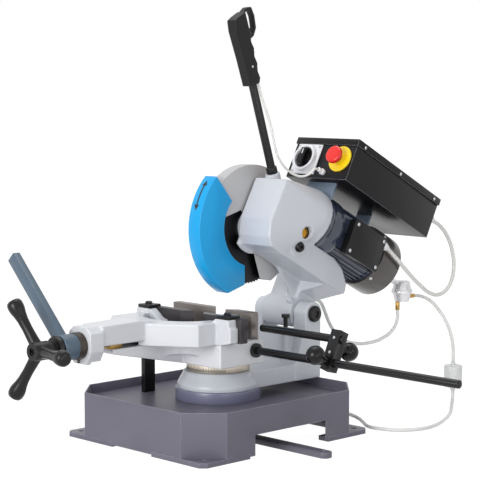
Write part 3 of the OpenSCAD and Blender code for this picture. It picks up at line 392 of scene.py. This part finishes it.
# The case's front is planed into facets: its round rim is brought back to the lowest facet, and a prism
# of the facets is cast on.
case = [(-247.5, 213.5), (-250, 117), (-237.5, 82.6), (-222, 68), (-190, 67), (-190, 150)]
case_wide = 94
rim_from, rim_to = 45, 48.5
brow = in_head(0, *case[1])
level = (in_head(0, *case[2]) - brow).cross(out).normalized()
level = -level if level.dot(back) > 0 else level
for v in bm.verts:
    if rim_from < (head.inverted() @ v.co * 1000 - axle).yz.length < rim_to:
        v.co -= level * max(0.0, (v.co - brow).dot(level))
ends = [[bm.verts.new(in_head(x, y, z)) for y, z in case] for x in (low[0] - case_wide, low[0])]
pad_r = 21
oval = [(y + pad_r * math.cos(math.radians(a)), z + pad_r * math.sin(math.radians(a)))
        for y, z, first in ((-154, 132, 0), (-152, 99, 180)) for a in range(first, first + 181, 15)]
ends += [[bm.verts.new(in_head(x, y, z)) for y, z in oval] for x in (low[0] - 6, low[0] + 3.6)]
for near, far in (ends[:2], ends[2:]):
    for i in range(len(near)):
        bm.faces.new([near[i - 1], near[i], far[i], far[i - 1]])
    bm.faces.new(near)
    bm.faces.new(far)
bmesh.ops.recalc_face_normals(bm, faces=bm.faces)
casting("head_casting", "head", pale_enamel, 0.0021, pattern=bm)
dress("spindle_bearings", "head", drawn_steel)
sight = in_head(low[0] + 4, -152, 132)
plug = in_head(low[0] + 3, -150, 99)
bm = bmesh.new()
turned(bm, [(13.2, -3), (13.2, 3.4), (12.6, 4.8), (11.4, 4.8), (10.8, 3.4), (10.8, -3)],
       seat(sight, out), 40)
turned(bm, [(11.5, -3), (11.5, 4), (11, 6.5), (9.4, 8.6), (6, 9.6), (3.6, 9.6), (3.2, 6), (0, 6)],
       seat(plug, out), 40)
fittings = shaded(bm, "oil_ring_and_plug")
put("oil_ring_and_plug", fittings, "head", gloss_black, ["oil_fittings"])
bm = bmesh.new()
turned(bm, [(10.8, -2), (10.8, 3.8), (6.5, 5), (3.2, 5.6), (0, 5.7)], seat(sight, out), 40)
amber_glass = bare_metal("amber sight glass", "#b98a2c", "#8a6420", 0.2)
put("oil_glass", shaded(bm, "oil_glass"), "head", amber_glass)


# Guards: a grey sheet over the back of the blade and a blue one that swings over its front, with a painted
# arrow along the rim.
guard_grey = enamel("guard grey enamel", "#bababb", "#aeaeb0", 0.34, 3.0, 0.05, 0.1, "#e2e2e4", 1.4)
dress("upper_guard", "head", guard_grey, 0.0006)
guard_blue = enamel("guard blue enamel", "#00a0e0", "#0096d4", 0.3, 3.0, 0.04, 0.0, "#6cc3f2", 1.8, 1.42)
dress("lower_guard", "guard", guard_blue, 0.0009)
sheet = frame["nodes"]["lower_guard"].data.vertices
guard_r = max((head.inverted() @ v.co * 1000 - axle).yz.length for v in sheet)
arrow = [(0, 0.0), (13, 7.5), (13, 2.2), (22, 2.2), (31, 2.2), (40, 2.2), (49, 2.2), (58, 2.2), (58, 7.5),
         (71, 0.0)]
bm = bmesh.new()
rows = []
paint_r = guard_r + 0.15
for along, wide in arrow:
    turn = math.radians(164) + (along + 4) / guard_r
    y = axle[1] + paint_r * math.cos(turn)
    z = axle[2] + paint_r * math.sin(turn)
    rows.append([bm.verts.new(in_head(x, y, z)) for x in (-wide - 2, wide - 2)])
for a, b in zip(rows[:-1], rows[1:]):
    bm.faces.new([a[0], a[1], b[1], b[0]])
bmesh.ops.remove_doubles(bm, verts=bm.verts, dist=1e-6)
put("direction_arrow", shaded(bm, "direction_arrow"), "guard", scale_ink)


# Blade and drive: a dark toothed steel disc bolted under a flange to its ground spindle, a bronze worm
# wheel, and the motor's shaft with the worm cut in it and a moulded fan.
dress("saw_blade", "blade", bare_metal("blade steel", "#37373a", "#2c2c2f", 0.4), 0)
dress("blade_flange", "blade", black_screw)
dress("spindle", "blade", drawn_steel)
dress("worm_wheel", "blade", turned_brass, 0.0004)
dress("worm_shaft", "worm", drawn_steel, 0)
dress("cooling_fan", "worm", moulded_black)


# Motor: finned shell in glossy navy black with a smooth end shield at the flange, a fan cover held by four
# screws, and a terminal box with a raised lid.
motor_enamel = enamel("motor enamel", "#353c4e", "#2b3142", 0.2, 2.4, 0.06, 0.4, "#6d7186", 1.6)
dress("motor_body", "head", motor_enamel, 0.0005)
motor_at = head.inverted() @ Vector(joints["worm_spin"]["pos_m"]) * 1000
low, high = head_box("motor_body")
fin_r = high[0] - motor_at[0]
front = in_head(motor_at[0], low[1], motor_at[2])
bm = bmesh.new()
bell = head_box("terminal_box")[0][1] - low[1] - 3
turned(bm, [(fin_r - 3, 1), (fin_r + 2, 1), (fin_r + 3, 3), (fin_r + 3, 9), (fin_r + 1, 12),
            (fin_r + 0.6, 18), (fin_r + 2.6, 22), (fin_r + 2.8, bell - 12), (fin_r + 2, bell - 5),
            (fin_r - 2, bell)], seat(front, back), 72)
put("end_shield", shaded(bm, "end_shield"), "head", motor_enamel)
cover_enamel = enamel("fan cover enamel", "#4b4643", "#3f3b39", 0.28, 2.4, 0.06, 0.25, "#8a8683", 1.6)
dress("fan_cover", "head", cover_enamel, 0.002, 50, 3)
low, high = head_box("fan_cover")
cover_r = high[0] - motor_at[0]
spots = []
for turn in (45, 135, 225, 315):
    aim = Vector((math.cos(math.radians(turn)), 0, math.sin(math.radians(turn))))
    spot = Vector((motor_at[0], low[1] + 6, motor_at[2])) + aim * cover_r
    spots.append((in_head(*spot), head.to_3x3() @ aim))
screws("fan_cover_screws", spots, "head", bright_screw, 8, 3)
dress("terminal_box", "head", gloss_black, 0.002)
low, high = head_box("terminal_box")
bm = bmesh.new()
for rise, margin in ((2, 1.5), (3.6, -13)):
    middle = Vector((high[0] + rise - 3.5, (low[1] + high[1]) / 2, (low[2] + high[2]) / 2)) / 1000
    size = Vector((7, high[1] - low[1] + margin * 2, high[2] - low[2] + margin * 2)) / 1000
    place = head @ Matrix.Translation(middle) @ Matrix.Diagonal((*size, 1.0))
    bmesh.ops.create_cube(bm, size=1.0, matrix=place)
bmesh.ops.bevel(bm, geom=bm.edges[:], offset=0.0016, affect="EDGES", segments=3, profile=0.5, material=-1)
put("terminal_lid", shaded(bm, "terminal_lid"), "head", gloss_black)
spots = [(in_head(high[0] + 2, y, z), out) for y in (low[1] + 8, high[1] - 8)
         for z in (low[2] + 8, high[2] - 8)]
screws("terminal_screws", spots, "head", bright_screw, 8, 2)
dress("return_spring", "head", drawn_steel, 0)


# Electrical box: folded black sheet with a skirted lid on two slate brackets. On its front a white switch
# with a deep collar round a black knob, and a red mushroom on a yellow ring.
# The pale edge colour on this black box is mostly a painted highlight along its folds, with a little wear.
box_enamel = enamel("box enamel", "#161518", "#111013", 0.27, 1.4, 0.12, 0.0, "#a0a0a6", 2.4, 1.31)
dress("electrical_box", "head", box_enamel, 0.001)
dress("box_lid", "head", box_enamel, 0.0014)
low, high = head_box("box_lid")
skirt = low[2] + 6.5
spots = [(in_head(x, y, skirt), side) for x, side in ((low[0], -out), (high[0], out))
         for y in (low[1] + 25, (low[1] + high[1]) / 2, high[1] - 25)]
screws("lid_screws", spots, "head", bright_screw, 7, 2.2)
bracket_enamel = enamel("bracket enamel", "#77879a", "#6a798c", rub_and_highlight="#a4b0be")
dress("box_brackets", "head", bracket_enamel)
white_plastic = enamel("white moulding", "#e8e9ec", "#dddee2", 0.28, 0.8, 0.04, 0.1)
dress("switch_plate", "head", white_plastic, 0.0018, 50, 3)
dress("switch_knob", "switch", gloss_black, 0.0015)
low, high = head_box("switch_plate")
spots = [(in_head(x, low[1] + 11, z), -back) for x in (low[0] + 6, high[0] - 6)
         for z in (low[2] + 6, high[2] - 6)]
screws("switch_screws", spots, "head", bright_screw, 6, 1.6)
low, high = head_box("switch_knob")
bm = bmesh.new()
middle = in_head((low[0] + high[0]) / 2, low[1], high[2] - 13)
place = Matrix.Translation(middle) @ turned_head.to_4x4() @ Matrix.Diagonal((0.0025, 0.0006, 0.012, 1.0))
bmesh.ops.create_cube(bm, size=1.0, matrix=place)
put("switch_mark", shaded(bm, "switch_mark"), "switch", white_plastic)
yellow_moulding = enamel("yellow moulding", "#f4d51c", "#eac912", 0.28, 1.2, 0.04)
dress("estop_disc", "head", yellow_moulding, 0.001)
red_moulding = enamel("red moulding", "#e41c14", "#d6160e", 0.22, 1.2, 0.03, 0.2)
dress("estop_button", "estop", red_moulding, 0.004, 50, 4)


# Pull handle: a black enamelled tube with a moulded grip on its end. The grip has finger waves and a loop
# round the trigger, and its halves are held by a bright screw.
dress("handle_tube", "head", black_enamel, 0.001)
grip_rubber = enamel("moulded grip", "#131212", "#0f0e0e", 0.4, 0.7, 0.14, 0.0, "#4e4844", 2.0, 1.33)
casting("pistol_grip", "head", grip_rubber, 0.0011, 4, 70)
dress("trigger", "trigger", gloss_black, 0.0015)
pull = Vector(joints["trigger_pull"]["axis"])
grip_up = pull.cross(across).normalized()
grip_up = grip_up if grip_up.z > 0 else -grip_up
low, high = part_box("trigger")
trigger_at = (Vector(low) + Vector(high)) / 2
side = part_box("pistol_grip")[1][0]
spot = Vector((side, 0, 0)) + (trigger_at - grip_up * 0.085 + pull * 0.012) * Vector((0, 1, 1))
screws("grip_screw", [(spot, across)], "head", bright_screw, 5, 0.8)


# Coolant pump: a small aluminium casting on a bracket behind the fan cover, with brass tails and an in-line
# filter of milky plastic.
cast_silver = bare_metal("pump aluminium", "#eaeaec", "#d8d8db", 0.34, 2.0, 0.55)
dress("pump_bracket", "head", cast_silver, 0.0012)
dress("coolant_pump", "head", cast_silver, 0.0015, 40, 3)
low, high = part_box("coolant_pump")
pump = (Vector(low) + Vector(high)) / 2
pump_r = (high[0] - low[0]) / 2
turns = [math.radians(30 + 60 * i) for i in range(6)]
spots = [(pump + Vector((math.cos(a), math.sin(a), 0)) * (pump_r - 0.0035) + Vector((0, 0, 0.0033)),
          (0, 0, 1)) for a in turns]
screws("pump_screws", spots, "head", bright_screw, 4.5, 3)
dress("hose_barbs", "head", turned_brass, 0.0005)
dress("cable_glands", "head", white_plastic, 0.0008)
milky = enamel("milky filter plastic", "#eceded", "#e0e2e2", 0.3, 1.0, 0.03, 0.2)
milky.node_tree.nodes["Principled BSDF"].inputs["Transmission Weight"].default_value = 0.35
filter_body = dress("hose_filter", "turntable", milky, 0.002, 50, 3)


# Cables and hoses: white PVC sheath and milky hose, each from its fitting along a slack curve.
# The routes are those of the solids.
def route(name, points_mm, diameter, material, node):
    line = bpy.data.curves.new(name, "CURVE")
    line.dimensions = "3D"
    spline = line.splines.new("BEZIER")
    spline.bezier_points.add(len(points_mm) - 1)
    for knot, point in zip(spline.bezier_points, points_mm):
        knot.co = Vector(point) / 1000
        knot.handle_left_type = knot.handle_right_type = "AUTO"
    line.bevel_depth = diameter / 2
    line.bevel_resolution = 5
    line.resolution_u = 10
    line.use_fill_caps = True
    run = bpy.data.objects.new(name + "_line", line)
    bpy.context.scene.collection.objects.link(run)
    bpy.context.view_layer.update()
    knots = spline.bezier_points
    path = [knots[0].co.copy()]
    for a, b in zip(knots[:-1], knots[1:]):
        path += interpolate_bezier(a.co, a.handle_right, b.handle_left, b.co, 12)[1:]
    mesh = bpy.data.meshes.new_from_object(run.evaluated_get(bpy.context.evaluated_depsgraph_get()))
    bpy.data.objects.remove(run)
    mesh.shade_smooth()
    piece = bpy.data.objects.new(name, mesh)
    bpy.context.scene.collection.objects.link(piece)
    mesh.materials.clear()
    mesh.materials.append(material)
    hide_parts(node)
    return piece, path, sum((b - a).length for a, b in zip(path[:-1], path[1:]))


cable_white = enamel("white cable sheath", "#e4e4e1", "#dadad7", 0.34, 1.0, 0.0)
hose_white = enamel("milky hose", "#e3e4e2", "#d9dad7", 0.22, 1.0, 0.0, 0.2)
way = [(56, 65.4, 754.3), (57, 76, 722), (60, 88, 690), (62, 98, 660), (62, 107, 630), (60, 118, 603),
       (60, 132, 583), (61, 149, 568), (66, 166, 557), (74, 182, 553), (82, 196, 558), (85, 209, 568),
       (85, 221, 568)]
piece, path, length = route("grip_cable", way, 0.005, cable_white, "handle_cable")
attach(piece, "head")
way = [(140, 545, 440), (140, 575, 424), (140, 603, 396), (140, 620, 362), (140, 626, 328), (141, 618, 297),
       (142, 596, 274), (144, 565, 266), (146, 532, 273), (148, 495, 294), (151, 455, 322), (152, 413, 357),
       (150, 376, 388)]
piece, path, length = route("motor_lead", way, 0.009, cable_white, "motor_cable")
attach(piece, "head")
way = [(95, 478, 234), (95, 478, 214), (94, 464, 190), (86, 434, 171), (74, 402, 163), (60, 370, 164),
       (48, 345, 174), (38, 328, 192), (30, 316, 216), (24, 309, 240), (20, 300, 260), (20, 283, 269)]
piece, path, length = route("pump_line", way, 0.008, hose_white, "pump_hose")
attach(piece, "head")
way = [(95, 535, 262), (98, 556, 259), (110, 578, 247), (128, 590, 224), (150, 591, 196), (173, 578, 172),
       (191, 563, 150), (200, 553, 128), (200, 553, 117)]
piece, path, length = route("suction_line", way, 0.008, hose_white, "suction_hose")
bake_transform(piece)
way = [(200, 553, 51), (200, 553, 38), (207, 541, 20), (222, 518, 8), (237, 492, 5), (254, 460, 5),
       (270, 426, 5), (282, 390, 5), (286, 352, 5), (276, 316, 5), (254, 290, 5), (224, 277, 5),
       (200, 273, 5), (181, 277, 6), (165, 285, 9), (146, 291, 14), (130, 288, 19), (118, 279, 23),
       (113, 266, 24), (113, 258, 24)]
piece, path, length = route("tank_line", way, 0.008, hose_white, "tank_hose")
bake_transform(piece)


# Studio: a pale floor that keeps a faint shadow, a white surround, and soft lamps: a large key lamp in
# front, a weak one at the side, a low one for the neck and one overhead.
def plainly_seen(material):
    # One for rays of the camera, and for mirror and glass rays, so that metal shows the white surround too.
    rays = add(material, "ShaderNodeLightPath").outputs
    seen = rays["Is Camera Ray"]
    for kind in ("Is Glossy Ray", "Is Transmission Ray"):
        seen = add(material, "ShaderNodeMath", {0: seen, 1: rays[kind]}, operation="MAXIMUM").outputs[0]
    return seen


scene = bpy.context.scene
scene.view_settings.view_transform = "Standard"
bm = bmesh.new()
bmesh.ops.create_grid(bm, x_segments=1, y_segments=1, size=14)
floor = bpy.data.objects.new("floor", bpy.data.meshes.new("floor"))
bm.to_mesh(floor.data)
bm.free()
scene.collection.objects.link(floor)
paper = bpy.data.materials.new("white paper")
paper.use_nodes = True
paper.node_tree.nodes.clear()
share = add(paper, "ShaderNodeMath", {0: plainly_seen(paper), 1: 0.8}, operation="MULTIPLY")
matt = add(paper, "ShaderNodeBsdfDiffuse", {"Color": linear("#d8d8d8")})
glow = add(paper, "ShaderNodeEmission", {"Color": linear("#ffffff"), "Strength": 1.22})
mixed = add(paper, "ShaderNodeMixShader", {0: share.outputs[0], 1: matt.outputs[0], 2: glow.outputs[0]})
add(paper, "ShaderNodeOutputMaterial", {"Surface": mixed.outputs[0]})
floor.data.materials.append(paper)

world = bpy.data.worlds.new("white studio")
scene.world = world
world.use_nodes = True
world.node_tree.nodes.clear()
seen = plainly_seen(world)
aim = add(world, "ShaderNodeSeparateXYZ", {"Vector": add(world, "ShaderNodeTexCoord").outputs["Generated"]})
wall = add(world, "ShaderNodeMapRange", {"Value": aim.outputs["X"], "From Min": -1.0, "From Max": 1.0,
                                         "To Min": 0.78, "To Max": 0.45})
surround = add(world, "ShaderNodeBackground", {"Color": linear("#ffffff"),
                                               "Strength": wall.outputs["Result"]})
white = add(world, "ShaderNodeBackground", {"Color": linear("#ffffff"), "Strength": 1.0})
both = add(world, "ShaderNodeMixShader", {0: seen, 1: surround.outputs[0], 2: white.outputs[0]})
add(world, "ShaderNodeOutputWorld", {"Surface": both.outputs[0]})

lamps = [("key lamp", (0.5, -3.3, 1.05), 1.6, 70), ("side lamp", (3.2, 0.4, 1.2), 1.4, 9),
         ("low lamp", (2.6, -1.2, 0.25), 0.9, 9), ("top lamp", (-0.4, 0.2, 3.2), 2.2, 32)]
aimed_at = Vector((0, 0.05, 0.35))
for name, place, size, power in lamps:
    lamp = bpy.data.lights.new(name, "AREA")
    lamp.size = size
    lamp.energy = power
    stand = bpy.data.objects.new(name, lamp)
    stand.location = place
    stand.rotation_euler = (aimed_at - Vector(place)).to_track_quat("-Z", "Y").to_euler()
    scene.collection.objects.link(stand)

camera = bpy.data.objects.new("camera", bpy.data.cameras.new("camera"))
camera.location = (2.549, -2.390, 0.760)
camera.rotation_euler = (math.radians(90 - 5.54), 0, math.radians(46.07))
camera.data.lens = 123.3
camera.data.sensor_width = 36
scene.collection.objects.link(camera)
scene.camera = camera
